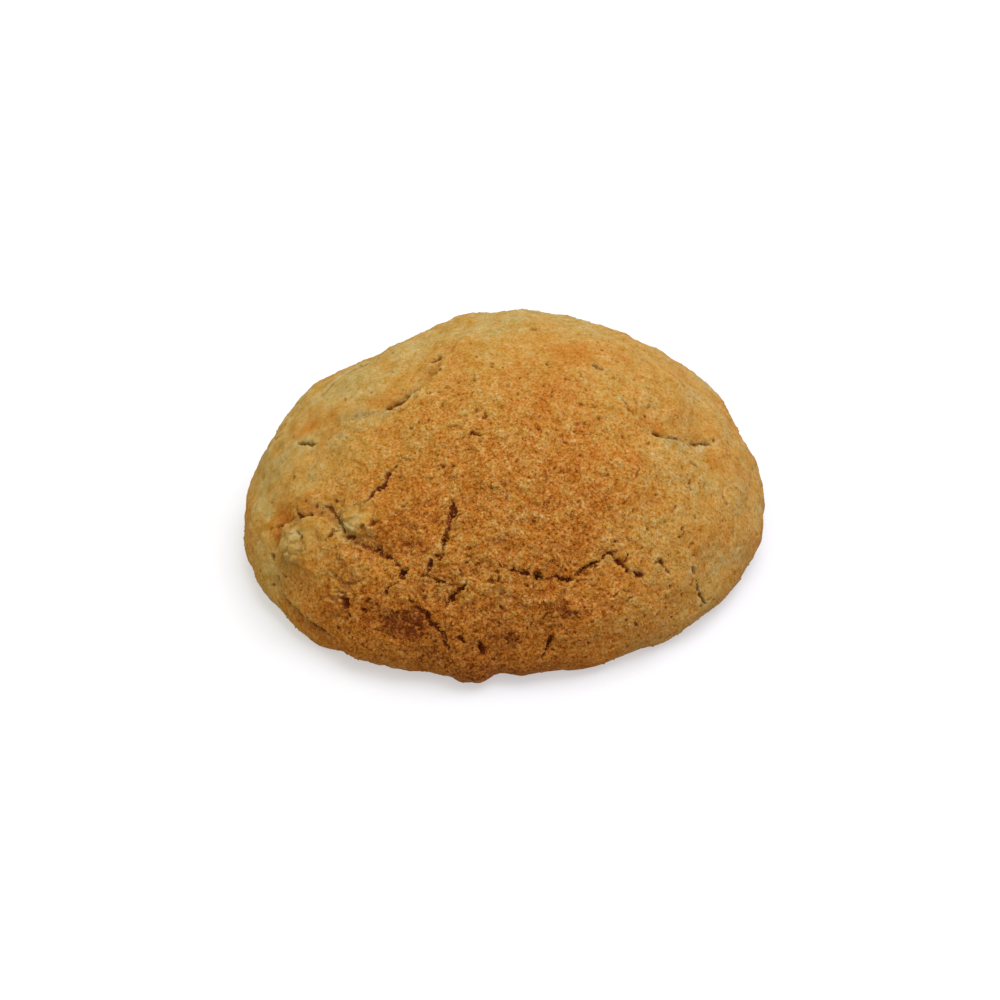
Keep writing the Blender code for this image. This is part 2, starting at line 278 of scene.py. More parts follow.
# Pits: place, width and depth in mm.
PITS = (
    ((-15, -29.5), 1.2, 1.3),
    ((3.1, -33.9), 0.6, 0.6),
    ((-14.9, -6), 1.0, 1.1),
    ((-15.9, -15.1), 0.8, 0.8),
    ((-22.8, -16.4), 0.7, 0.7),
    ((-19.6, -21.5), 0.8, 0.8),
    ((-26.5, -16.7), 0.7, 0.7),
    ((-21.8, -22), 0.8, 0.8),
    ((-7.7, -16.9), 0.6, 0.6),
    ((-12.9, -13.6), 0.7, 0.6),
    ((-10.6, -10.7), 0.6, 0.5),
    ((-1.6, 8.3), 0.7, 0.6),
    ((2.6, 8.8), 0.6, 0.5),
    ((6.5, 4.4), 0.6, 0.5),
    ((-10.3, 2), 0.7, 0.6),
    ((30.1, -29.2), 0.6, 0.6),
)

# The back has cracks of the same kind by a seeded rule. Angles are in degrees and turns in radians.
BACK_CRACKS = 9
BACK_AZIMUTHS = (10, 175)
BACK_REACH = (18, 42)
BACK_TURNS = (-0.7, 0.7)
BACK_STEPS = (2, 5)
BACK_STEP = 2.5
BACK_WIDTHS = (1.1, 1.5)
BACK_DEPTHS = (0.7, 1.3)
BACK_SEED = 12
BACK_NARROWING = 0.65  # the fine crust's cracks are this share of those widths

# Crags of the crust: size and height of each scale of lumps.
CRAGS = (
    (15 * MM, 0.6 * MM),
    (6 * MM, 0.65 * MM),
    (2.8 * MM, 0.38 * MM),
    (1.4 * MM, 0.18 * MM),
)
FOOT_FADE = 0.6  # share of the two finest crags and of the grain that is gone at the widest line
FOOT_FADE_LOW = 6  # more keeps them in full further down the side
SMOOTH_FADE = 0.4  # share of the two finest crags that is gone where the crust is smooth

# Size and reach of the raggedness of cracks, ledges and pits, coarse and fine.
TEARS = ((2.0 * MM, 0.22 * MM), (0.8 * MM, 0.22 * MM), (0.4 * MM, 0.14 * MM))
TEAR_SHIFTS = (0.1, 0.2, 0.3)  # far enough apart to be unlike each other

# Plates that the crust has broken into: their size, how far they stand in or out, and the width
# and depth of the creases between them. They show where the crust is most broken.
PLATES = (
    (4.6 * MM, 0.40 * MM, 0.6 * MM, 0.5 * MM),
    (2.0 * MM, 0.18 * MM, 0.4 * MM, 0.42 * MM),
)
PLATE_EDGE = 0.35 * MM  # how far from a crease a plate has its full height
PLATE_MIX = 3.7  # how far apart in the noise the plates are that lie side by side
CREASE_SPOTS = (4.5 * MM, 0.6, 1.6)  # size of the spots where they show, their mean and their swing
CREASE_BEADS = (BEAD, 0.8, BEADING)
CREASE_SHIFT = 0.07
CREASE_TONE = 0.6  # how dark a crease is, partly as painted shade, against a crack of the same depth
# Where the crust is more or less broken than elsewhere: place, spreads right and back, and amount.
BROKEN_EVERYWHERE = 0.2
BROKEN_PATCHES = (
    ((-27, -20), (7, 6), 0.9),
    ((-17, -27), (10, 8), 0.5),
    ((-25, -30), (8, 6), 0.3),
    ((-5, -34), (28, 9), 0.6),
    ((24, -7), (8, 5), 0.2),
    ((0, 14), (30, 12), -0.2),
)

# Hairline tears, in mm, and pores, scattered where the crust is sandy. The chance that one lies in a
# place is its sandiness, to the power that is called choosy.
SCATTER_SEED = 5
TEAR_COUNT = 260
TEAR_CHOOSY = 2
TEAR_STEPS = (1, 3)
TEAR_STEP = (0.4, 1.1)
TEAR_TURNS = (-1.1, 1.1)
TEAR_WIDTH = 0.38
TEAR_WIDER = (0.7, 1.3)  # least and most, as shares of that
TEAR_DEPTH = 0.4
TEAR_DEEPER = (0.6, 1.3)
TEAR_LIP = 0.3  # how much of a crack's lips a tear has
PORE_CHOOSY = 1
PORE_REACH = 1.1 * CRUST_REACH
PORE_SMALLNESS = 3  # more makes most of the pores smaller
PORE_WIDTHS = (0.3 * MM, 0.7 * MM)
PORE_DEPTHS = (0.2 * MM, 0.5 * MM)

# Sandy grain: each scale's texture, size and height as shares of the grain's, and settings.
GRAINS = (
    ("crumble", "CLOUDS", 2.3, 2.3, {"noise_depth": 2, "noise_type": "HARD_NOISE"}),
    ("sand", "VORONOI", 1, -1, {"distance_metric": "DISTANCE_SQUARED"}),
    ("dust", "CLOUDS", 0.55, 1, {"noise_depth": 1}),
)
WEIGHT_LEVELS = 10  # steps in which the grain grows from smooth crust to sandy

# Loose crumbs.
CRUMB_SEED = 7
CRUMB_SIZES = (0.10 * MM, 0.27 * MM)  # radius
CRUMB_UNEVEN = 0.28  # how far its corners move in and out, in radii
CRUMB_STRETCH = (0.7, 1.2)
CRUMB_SINK = 0.25  # how far it sinks into the crust, in radii
CRUMB_FOOT = 1.0 * MM  # no crumbs lower than this
CRUMB_SMOOTH = 0.3  # none where the crust is less sandy than this

# Where the crust is sandier or smoother than elsewhere: place, spreads right and back, and amount.
SANDY_EVERYWHERE = 0.42
SANDY_PATCHES = (
    ((0, -18), (26, 16), 0.45),
    ((-4, -38), (34, 14), 0.5),
    ((-32, -2), (12, 12), -0.15),
    ((-28.3, -19.2), (4.2, 2.6), -0.35),
    ((-20.5, -20.1), (2.4, 1.7), -0.35),
)
SANDY_UNDER = 0.3

# Browning, from 0 (pale dough) to 1 (dark brown): place, spreads right and back, and amount. Some patches
# are partly painted shade, as marked.
BROWN_EVERYWHERE = 0.33
BROWN_PATCHES = (
    ((0, -17), (19, 12), 0.15),
    ((-17, -16), (9, 9), 0.06),
    ((-6, -43), (30, 14), 0.35),
    # a darker band along the bottom edge, partly browning and partly painted contact shade
    ((-6, -49.5), (36, 3.5), 0.15),
    ((-14, -24.5), (4.5, 4), 0.20),
    ((-9, 9), (8, 5), -0.10),
    ((2, -3), (7, 6), 0.04),
    ((13, -25.5), (5, 4), 0.08),
    ((-3, -33), (8, 4), -0.05),
    ((36, -20), (8, 7), -0.08),
    ((0, 50), (60, 18), 0.15),
    ((-33, -34), (9, 8), 0.16),
    ((11, -30), (9, 5), 0.05),
    ((-26, 2), (13, 12), -0.16),
    ((0, 18), (28, 10), -0.15),
    ((20, 8), (12, 8), -0.05),
    ((40, -8), (7, 8), -0.03),
    ((30, -30), (12, 7), 0.05),
    ((-13, -45), (6, 4), 0.14),
    ((-30, -9), (7, 5), -0.06),
    ((-43, -3), (3, 8), 0.04),
    ((24, -8.6), (5, 1.6), -0.10),
    # the slab, the recess on its left, the plate on its right and the dull spots between
    ((-28.3, -19.2), (4.2, 2.6), -0.14),
    ((-31.8, -14.2), (3.0, 2.6), 0.20),
    # the dark strip along the slab's left edge, partly browner dough and partly painted shade
    ((-34.2, -18), (1.3, 2.4), 0.14),
    ((-20.5, -20.1), (2.6, 1.9), -0.20),
    ((-23.6, -18.2), (1.2, 0.9), 0.12),
    # the dark patches
    ((-15.8, -37.2), (3.0, 2.0), 1.0),
    ((-19, -35.4), (2.8, 1.5), 0.25),
    ((-22, -33), (1.8, 1.5), 0.22),
    ((9, -31.7), (1.6, 1.0), 0.2),
    ((10.8, -36.8), (2.6, 0.8), 0.40),
    ((1.6, -42.5), (2.4, 1.2), 0.25),
    ((16.3, -34.6), (1.2, 0.7), 0.2),
    ((15.7, -14.2), (1.5, 1.2), 0.25),
)
PATCH_TEAR = 1.3 * MM  # size of the raggedness of the patches' edges
PATCH_REACH = 1.1  # how far the edges wander, in mm over the crust
# Size and amount of the browning's drift from place to place.
BROWN_DRIFT = ((11 * MM, 0.08), (5 * MM, 0.09), (2.2 * MM, 0.05))
SMOOTH_DRIFT = (1.9, 1.1)  # strength of the drift on smooth crust, and how much less it is on sandy
DRIFT_SHIFT = 0.05

# Reddish-orange spots: place, spreads and amount.
RED_SPOTS = (
    ((8, 1), (2.6, 2.0), 1.0),
    ((19.6, -6.6), (1.7, 1.0), 1.0),
    ((25.1, -3.4), (1.3, 0.9), 0.9),
    ((21, -18.1), (2.0, 1.6), 0.4),
    ((7, -34.3), (1.8, 1.3), 0.7),
    ((-31.8, -14.2), (3.2, 2.8), 0.8),
    ((-17.6, -2.2), (2.4, 1.4), 0.8),
    ((-27.6, -0.4), (1.6, 1.2), 0.8),
    ((-23.1, -5), (1.4, 1.0), 0.8),
    ((-27, -1), (3.5, 2.0), 0.5),
    ((14.6, -5.9), (1.0, 0.9), 0.6),
    ((-14, -38), (3.5, 2.0), 0.5),
    ((-24, -7), (2.5, 1.5), 0.4),
    ((-17, -26.5), (1.2, 0.6), 0.6),
)

SPHERE_SUBDIVISIONS = 9
CRUST_TRIANGLES = 195000


# ---------------------------------------------------------------- properties


class CookieShape(PropertyGroup):
    radius: FloatProperty(
        name="Mean radius", description="Mean radius of the cookie's plan",
        default=ROUND_SHARE * (COOKIE_SIZE.x + COOKIE_SIZE.y) / 4, unit="LENGTH")
    height: FloatProperty(
        name="Height", description="Height of the cookie over its flat underside",
        default=COOKIE_SIZE.z, unit="LENGTH")
    grain_size: FloatProperty(
        name="Grain size", description="Size of the sandy lumps of the crust",
        default=0.8 * MM, unit="LENGTH")
    grain_height: FloatProperty(
        name="Grain height", description="How far the sandy lumps stand out where the crust is sandiest",
        default=0.26 * MM, unit="LENGTH")
    pores: IntProperty(
        name="Pores", description="How many pores are scattered over the crust",
        default=1500, min=0)
    crumbs: IntProperty(
        name="Crumbs", description="How many fine crumbs stick to the crust",
        default=9500, min=0)


class CookieLook(PropertyGroup):
    pale: FloatVectorProperty(
        name="Pale", description="Colour of the least baked crust",
        default=(0.38, 0.300, 0.104), subtype="COLOR")
    golden: FloatVectorProperty(
        name="Golden", description="Colour of the golden crust",
        default=(0.435, 0.228, 0.042), subtype="COLOR")
    brown: FloatVectorProperty(
        name="Brown", description="Colour of the browned crown",
        default=(0.40, 0.135, 0.0145), subtype="COLOR")
    dark: FloatVectorProperty(
        name="Dark", description="Colour of the most baked spots",
        default=(0.15, 0.036, 0.006), subtype="COLOR")
    # The inside colours: darker dough in cracks, pores and creases, partly painted shade, and the painted
    # shade at the feet of ledges.
    inside: FloatVectorProperty(
        name="Inside of cracks", description="Colour deep inside the cracks and pores",
        default=(0.19, 0.038, 0.008), subtype="COLOR")
    inside_pale: FloatVectorProperty(
        name="Inside of pale cracks", description="Colour inside the cracks where the crust is pale",
        default=(0.20, 0.088, 0.009), subtype="COLOR")
    red: FloatVectorProperty(
        name="Reddish spots", description="What the reddish-orange spots make of the crust's colour",
        default=(0.97, 0.72, 0.45), subtype="COLOR")
    # Sugar: pale grains, partly a painted glint.
    sugar: FloatVectorProperty(
        name="Sugar", description="Colour of the fine bright grains",
        default=(0.72, 0.51, 0.24), subtype="COLOR")


class CookieStage(PropertyGroup):
    elevation: FloatProperty(
        name="Camera elevation", description="Angle of the camera above the horizon",
        default=math.radians(38), subtype="ANGLE")
    distance: FloatProperty(
        name="Camera distance", description="Distance from the camera to the cookie",
        default=0.42, unit="LENGTH")
    lens: FloatProperty(
        name="Focal length", description="Focal length in millimetres, on a sensor 36 mm wide",
        default=99.04)
    floor: FloatVectorProperty(
        name="Floor", description="Colour of the floor",
        default=(0.45, 0.45, 0.46), subtype="COLOR")
    floor_glow: FloatProperty(
        name="Floor glow", description="How strongly the floor glows, as a lit table does",
        default=0.43)
    fill: FloatProperty(
        name="Fill light", description="Strength of the even light from above",
        default=0.90)
    fill_left: FloatVectorProperty(
        name="Fill on the left", description="Colour of the even light from the left",
        default=(1.01, 0.99, 0.75), subtype="COLOR")
    fill_right: FloatVectorProperty(
        name="Fill on the right", description="Colour of the even light from the right",
        default=(0.99, 1.0, 1.3), subtype="COLOR")
    below: FloatProperty(
        name="Light from below",
        description="Strength of the light from below, as a share of the fill light",
        default=0.6)
    key: FloatProperty(
        name="Key light",
        description="Strength of the soft light above, behind and to the right, in watts",
        default=9.8)


# ---------------------------------------------------------------- the dough's form


def bell(away):
    """A soft bump, 1 in its middle and nearly gone at twice its spread."""
    return np.exp(-(away**2))


def lobes(azimuth):
    """How far the widest line stands out beyond its oval."""
    out = np.zeros_like(azimuth)
    for centre, width, height in LOBES:
        apart = (azimuth - math.radians(centre) + math.pi) % (2 * math.pi) - math.pi
        out += height * MM * bell(apart / math.radians(width))
    return out


def dough(azimuth, lean, shape):
    """Points of the smooth mound, from its top (lean 0) over its widest line (a right angle) and under."""
    above = np.minimum(lean, RIGHT_ANGLE)
    below = np.clip((lean - RIGHT_ANGLE) / (UNDER_LEAN - RIGHT_ANGLE), 0, 1) * RIGHT_ANGLE
    closing = np.clip((math.pi - lean) / (math.pi - UNDER_LEAN), 0, 1)
    share = np.sin(above) * (1 - UNDER_TUCK * (1 - np.cos(below))) * closing
    height = WAIST + (shape.height - WAIST) * np.cos(above) ** FULLNESS - UNDER_DEPTH * np.sin(below)
    oval = shape.radius * (1 + OVAL * np.cos(2 * (azimuth - OVAL_TURN)))
    radius = share * (oval + lobes(azimuth) * np.sin(above) ** LOBE_FADE)
    shift = np.cos(above) ** 2
    x = radius * np.cos(azimuth) + TOP_SHIFT[0] * shift
    y = radius * np.sin(azimuth) + TOP_SHIFT[1] * shift
    return np.stack([x, y, height], axis=-1)


def crust_point(place, shape):
    """The point of the mound at a place (right, back) measured over the crust."""
    right, back = np.asarray(place, float).T
    lean = np.hypot(right, back) / CRUST_REACH * RIGHT_ANGLE
    return dough(np.arctan2(back, right), lean, shape)


def polar(angle, reach=1.0):
    """The place (right, back) that far away in that direction."""
    return reach * math.cos(angle), reach * math.sin(angle)


def lumps(points, size):
    """Smooth noise from about -1 to 1, with lumps of that size."""
    return np.array([noise.noise(Vector(point)) for point in points / size])


def spotty(points, size, mean, swing):
    """A share from 0 to 1 that comes and goes over the points, in spots of that size."""
    return np.clip(mean + swing * lumps(points, size), 0, 1)


def cells(points, size):
    """About how far each point is from an edge between cells of that size, and a value for its cell."""
    found = [noise.voronoi(Vector(point)) for point in points / size]
    apart = np.array([distances[1] - distances[0] for distances, _ in found]) * size / 2
    return apart, np.array([noise.noise(centres[0] * PLATE_MIX) for _, centres in found])


def torn(points):
    """The points moved a little to and fro, so that edges drawn by distance come out ragged."""
    moved = points.copy()
    for size, reach in TEARS:
        moves = [lumps(points + shift, size) for shift in TEAR_SHIFTS]
        moved += reach * np.stack(moves, axis=-1)
    return moved


def nearest_on_route(points, normals, stops):
    """Each point's distance from a route, its distance to the left of it, how far along the route it
    is, and how near the route's ends, from 0 at the middle to 1."""
    lengths = np.linalg.norm(np.diff(stops, axis=0), axis=1)
    passed = 0.0
    near = np.full(len(points), np.inf)
    side = np.zeros(len(points))
    travelled = np.zeros(len(points))
    for start, end, length in zip(stops[:-1], stops[1:], lengths):
        heading = (end - start) / length
        along = np.clip((points - start) @ heading, 0, length)
        offset = points - start - along[:, None] * heading
        distance = np.linalg.norm(offset, axis=1)
        closer = distance < near
        near[closer] = distance[closer]
        side[closer] = np.einsum("ij,ij->i", np.cross(heading, offset), normals)[closer]
        travelled[closer] = passed + along[closer]
        passed += length
    return near, side, travelled, np.abs(2 * travelled / lengths.sum() - 1) ** 3


def hollow(distance, width, depth):
    """The fall of the surface across a groove or a pit of that width."""
    across = np.clip(2 * distance / width, 0, 1)
    return -depth * (1 - across**2)


def patches(places, everywhere, found):
    """A value over the crust, with a soft round patch added at each place found."""
    value = np.full(len(places), float(everywhere))
    for centre, spreads, amount in found:
        away = (places - np.array(centre)) / np.array(spreads)
        value += amount * np.exp(-(away**2).sum(axis=1))
    return value


def sandiness(places):
    return patches(places, SANDY_EVERYWHERE, SANDY_PATCHES)


def outward_normals(points, triangles):
    """Unit normals at the points, from the triangles round each."""
    first, second, third = (points[corner] for corner in triangles.T)
    crosses = np.cross(second - first, third - first)
    normals = np.zeros_like(points)
    for corner in triangles.T:
        for axis in range(3):
            normals[:, axis] += np.bincount(corner, crosses[:, axis], len(points))
    return normals / np.linalg.norm(normals, axis=1)[:, None]


class Crust:
    """The crust's points while it is shaped: their places, the smooth mound under them, the height of
    the relief over it, and the depth of what is cut into that."""

    def __init__(self, sphere, triangles, shape):
        azimuth = np.arctan2(sphere[:, 1], sphere[:, 0])
        lean = np.arccos(np.clip(sphere[:, 2], -1, 1))
        reach = CRUST_REACH * lean / RIGHT_ANGLE
        self.shape = shape
        self.places = np.stack([reach * np.cos(azimuth), reach * np.sin(azimuth)], axis=-1)
        self.under = lean > UNDER_LEAN
        self.calm = 1 - FOOT_FADE * np.clip(lean / RIGHT_ANGLE, 0, 1) ** FOOT_FADE_LOW
        self.mound = dough(azimuth, lean, shape)
        self.normals = outward_normals(self.mound, triangles)
        self.torn = torn(self.mound)
        self.height, self.cuts, self.creases = np.zeros((3, len(sphere)))
        self.lips, self.shoulders, self.feet, self.rim_highlights = np.zeros((4, len(sphere)))

    def near(self, stops, reach):
        """The numbers of the points in a box that holds the stops and that reach round them."""
        low, high = stops.min(axis=0) - reach, stops.max(axis=0) + reach
        return np.flatnonzero(((self.torn > low) & (self.torn < high)).all(axis=1))

    def beside(self, route, reach):
        """The stops of a route, the numbers of the points near it, and where these are along it."""
        stops = crust_point(route, self.shape)
        picked = self.near(stops, reach)
        return stops, picked, *nearest_on_route(self.torn[picked], self.normals[picked], stops)

    def raise_crags(self):
        sandy = sandiness(self.places)
        fine = self.calm * (1 - SMOOTH_FADE * np.clip(1 - sandy, 0, 1))
        for number, (size, height) in enumerate(CRAGS):
            self.height += height * lumps(self.mound, size) * (fine if number > 1 else 1)
        for place, width, swell in SWELLS:
            distance = np.linalg.norm(self.mound - crust_point(place, self.shape), axis=1)
            self.height += swell * MM * bell(distance / (width * MM))

    def drop_ledge(self, route, drop, edge, reach):
        reach *= MM
        _, picked, distance, side, _, ends = self.beside(route, reach)
        fading = np.clip(LEDGE_PLATEAU * (1 - distance / reach), 0, 1) ** 2
        closing = 1 - LEDGE_CLOSING * ends
        self.height[picked] += drop * MM * closing * fading * np.clip(-side / (edge * MM), 0, 1)
        lower = side * np.sign(drop) > 0
        broken = closing * spotty(self.torn[picked], *LEDGE_SHADE_AND_HIGHLIGHT_BREAKS)
        # Painted shade on the lower side, at the ledge's foot.
        foot = broken * bell(distance / (FOOT_SHADE_REACH * abs(drop) * MM)) * lower
        # A painted highlight on the upper side, along the ledge's rim.
        rim_highlight = broken * bell(distance / RIM_HIGHLIGHT_REACH) * ~lower
        self.feet[picked] = np.maximum(self.feet[picked], foot)
        self.rim_highlights[picked] = np.maximum(self.rim_highlights[picked], rim_highlight)

    def open_crack(self, route, width, depth, lip=1.0):
        width, depth = width * MM, depth * MM
        stops, picked, distance, _, travelled, ends = self.beside(route, LIP_REACH * 2)
        closing = 1 - CRACK_CLOSING * ends
        beads = 1 + BEADING * lumps(stops[0] + travelled[:, None] * np.array(BEAD_LINE), BEAD)
        beads = np.maximum(beads, BEAD_LEAST)
        fall = hollow(distance, width * closing * beads, depth * closing * beads)
        self.cuts[picked] = np.minimum(self.cuts[picked], fall)
        shoulder = SHOULDER * depth * closing * lip * bell(SHOULDER_FALL * distance / width)
        self.shoulders[picked] = np.maximum(self.shoulders[picked], shoulder)
        self.lips[picked] = np.maximum(self.lips[picked], lip * bell(distance / LIP_REACH))

    def press_fold(self, route, width, depth):
        width, depth = width * MM, depth * MM
        _, picked, distance, _, _, ends = self.beside(route, width)
        self.height[picked] -= depth * (1 - ends) * bell(2 * distance / width)

    def break_plates(self):
        broken = patches(self.places, BROKEN_EVERYWHERE, BROKEN_PATCHES)
        broken *= spotty(self.mound + CREASE_SHIFT, *CREASE_SPOTS)
        beads = spotty(self.mound, *CREASE_BEADS)
        for size, step, width, depth in PLATES:
            apart, value = cells(self.torn, size)
            self.height += step * value * broken * np.clip(apart / PLATE_EDGE, 0, 1)
            self.creases = np.minimum(self.creases, hollow(apart, width, depth) * broken * beads)

    def sink_pit(self, place, width, depth):
        width, depth = width * MM, depth * MM
        stop = crust_point([place], self.shape)
        picked = self.near(stop, width)
        distance = np.linalg.norm(self.torn[picked] - stop, axis=1)
        self.cuts[picked] = np.minimum(self.cuts[picked], hollow(distance, width, depth))

    def surface(self):
        """The points of the crust with all of its relief, over the middle of the cookie."""
        cut = np.minimum(self.cuts, self.creases)
        relief = self.height + LIP_RISE * self.lips - self.shoulders + cut
        points = self.mound + self.normals * relief[:, None]
        low, high = points.min(axis=0), points.max(axis=0)
        points[:, :2] += (np.array(COOKIE_MIDDLE) - (low + high) / 2)[:2]
        return points

    def tones(self):
        """How sandy, browned and reddish the crust is at each of its points."""
        moves = [lumps(self.mound + shift, PATCH_TEAR) for shift in TEAR_SHIFTS[:2]]
        ragged = self.places + PATCH_REACH * np.stack(moves, axis=-1)
        sandy = sandiness(self.places)
        sandy[self.under] = SANDY_UNDER
        browned = patches(ragged, BROWN_EVERYWHERE, BROWN_PATCHES)
        drift = SMOOTH_DRIFT[0] - SMOOTH_DRIFT[1] * sandy
        for size, amount in BROWN_DRIFT:
            browned += amount * drift * lumps(self.mound + DRIFT_SHIFT, size)
        red = patches(ragged, 0, RED_SPOTS)
        return {"sandy": np.clip(sandy, 0, 1), "browned": browned, "red": red}


# ---------------------------------------------------------------- scattered by a seeded rule


def back_cracks():
    """Wandering cracks on the side away from the front, each starting at a random place."""
    draw = random.Random(BACK_SEED)
    for _ in range(BACK_CRACKS):
        azimuth = math.radians(draw.uniform(*BACK_AZIMUTHS))
        route = [Vector(polar(azimuth, draw.uniform(*BACK_REACH)))]
        heading = azimuth + RIGHT_ANGLE + draw.uniform(*BACK_TURNS)
        for _ in range(draw.randint(*BACK_STEPS)):
            heading += draw.uniform(*BACK_TURNS)
            route.append(route[-1] + BACK_STEP * Vector(polar(heading)))
        width = draw.uniform(*BACK_WIDTHS) * BACK_NARROWING
        yield route, width, draw.uniform(*BACK_DEPTHS)


def sandy_places(draw, count, reach, choosy):
    """Random places within reach, with more of them where the crust is sandy."""
    while count:
        place = polar(draw.uniform(0, 2 * math.pi), reach * math.sqrt(draw.random()))
        if draw.random() <= sandiness(np.array([place]))[0] ** choosy:
            count -= 1
            yield place


def scatter_tears(crust, draw):
    """Hairline tears of one to three stretches."""
    for place in sandy_places(draw, TEAR_COUNT, CRUST_REACH, TEAR_CHOOSY):
        route = [Vector(place)]
        heading = draw.uniform(0, 2 * math.pi)
        for _ in range(draw.randint(*TEAR_STEPS)):
            heading += draw.uniform(*TEAR_TURNS)
            route.append(route[-1] + draw.uniform(*TEAR_STEP) * Vector(polar(heading)))
        width = TEAR_WIDTH * draw.uniform(*TEAR_WIDER)
        crust.open_crack(route, width, TEAR_DEPTH * draw.uniform(*TEAR_DEEPER), TEAR_LIP)


def scatter_pores(crust, draw):
    """Small round pores, most of them near the smallest size."""
    tree = kdtree.KDTree(len(crust.torn))
    for number, point in enumerate(crust.torn):
        tree.insert(point, number)
    tree.balance()
    for place in sandy_places(draw, crust.shape.pores, PORE_REACH, PORE_CHOOSY):
        size = draw.random() ** PORE_SMALLNESS
        width, depth = (low + size * (high - low) for low, high in (PORE_WIDTHS, PORE_DEPTHS))
        stop = crust_point([place], crust.shape)[0]
        for _, number, distance in tree.find_range(stop, width / 2):
            crust.cuts[number] = min(crust.cuts[number], hollow(distance, width, depth))


def random_turns(draw, count):
    """Random rotation matrices."""
    turns = np.linalg.qr(draw.normal(size=(count, 3, 3)))[0]
    return turns * np.sign(np.linalg.det(turns))[:, None, None]


# ---------------------------------------------------------------- meshes


def deselect_all():
    bpy.ops.object.select_all(action="DESELECT")


def new_ball(name, subdivisions):
    """A ball of even triangles, to be shaped."""
    deselect_all()
    bpy.ops.mesh.primitive_ico_sphere_add(subdivisions=subdivisions, radius=1.0, calc_uvs=False)
    piece = bpy.context.object
    piece.name = piece.data.name = name
    return piece, piece.data


def read_points(mesh):
    points = np.empty(len(mesh.vertices) * 3, np.float32)
    mesh.vertices.foreach_get("co", points)
    return points.reshape(-1, 3).astype(float)


def write_points(mesh, points):
    mesh.vertices.foreach_set("co", points.astype(np.float32).ravel())
    mesh.update()


def read_triangles(mesh):
    corners = np.empty(len(mesh.polygons) * 3, np.int32)
    mesh.polygons.foreach_get("vertices", corners)
    return corners.reshape(-1, 3)


def read_values(mesh, name):
    values = np.empty(len(mesh.vertices), np.float32)
    mesh.attributes[name].data.foreach_get("value", values)
    return values.astype(float)


def write_value(mesh, name, values):
    mesh.attributes.new(name, "FLOAT", "POINT").data.foreach_set("value", values.astype(np.float32))


def roughen(piece, weight, shape):
    """Grain of several scales on the piece, as strong as the weight of each point."""
    group = piece.vertex_groups.new(name="sandy")
    for level in range(1, WEIGHT_LEVELS + 1):
        inside = np.flatnonzero(np.round(weight * WEIGHT_LEVELS) == level)
        group.add(inside.tolist(), level / WEIGHT_LEVELS, "REPLACE")
    for name, kind, width, height, settings in GRAINS:
        texture = bpy.data.textures.new(name, kind)
        texture.noise_scale = shape.grain_size * width
        for setting, value in settings.items():
            setattr(texture, setting, value)
        lumpy = piece.modifiers.new(name, "DISPLACE")
        lumpy.texture = texture
        lumpy.texture_coords = "LOCAL"
        lumpy.vertex_group = "sandy"
        lumpy.mid_level = 0.5
        lumpy.strength = shape.grain_height * height
        bpy.ops.object.modifier_apply(modifier=name)
    piece.vertex_groups.clear()


class COOKIE_OT_crust(Operator):
    """Model the browned crust with its cracks, ledges, pores and sandy grain"""

    bl_idname = "cookie.crust"
    bl_label = "Crust"

    def execute(self, context):
        shape = context.scene.cookie_shape
        piece, mesh = new_ball("crust", SPHERE_SUBDIVISIONS)
        crust = Crust(read_points(mesh), read_triangles(mesh), shape)
        crust.raise_crags()
        for ledge in LEDGES:
            crust.drop_ledge(*ledge)
        for fold in FOLDS:
            crust.press_fold(*fold)
        for crack in (*CRACKS, *back_cracks()):
            crust.open_crack(*crack)
        for pit in PITS:
            crust.sink_pit(*pit)
        crust.break_plates()
        draw = random.Random(SCATTER_SEED)
        scatter_tears(crust, draw)
        scatter_pores(crust, draw)

        points = crust.surface()
        values = crust.tones()
        write_points(mesh, points)
        roughen(piece, values["sandy"] * crust.calm, shape)
        grained = read_points(mesh)
        rise = np.einsum("ij,ij->i", grained - points, crust.normals)
        rise -= rise.mean()
        grained[:, 2] = np.maximum(grained[:, 2], COOKIE_LOW.z)
        write_points(mesh, grained)
        # Deeper in cracks, pores and creases the colour is darker, partly as painted shade.
        values["deep"] = -np.minimum(crust.cuts, CREASE_TONE * crust.creases) / DEEP
        # Paler torn lips of cracks, partly a painted highlight.
        values["lip"] = crust.lips
        # Painted shade at the feet of ledges.
        values["foot"] = crust.feet
        # A painted highlight along the rims of ledges.
        values["rim_highlight"] = crust.rim_highlights
        values["rise"] = rise / shape.grain_height + 0.5
        for name, value in values.items():
            write_value(mesh, name, np.clip(value, 0, 1))

        fewer = piece.modifiers.new("fewer", "DECIMATE")
        fewer.ratio = CRUST_TRIANGLES / len(mesh.polygons)
        bpy.ops.object.modifier_apply(modifier="fewer")
        bpy.ops.object.shade_smooth()
        mesh.materials.append(crust_material(context.scene.cookie_look))
        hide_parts("cookie")
        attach(piece, "root")
        return {"FINISHED"}


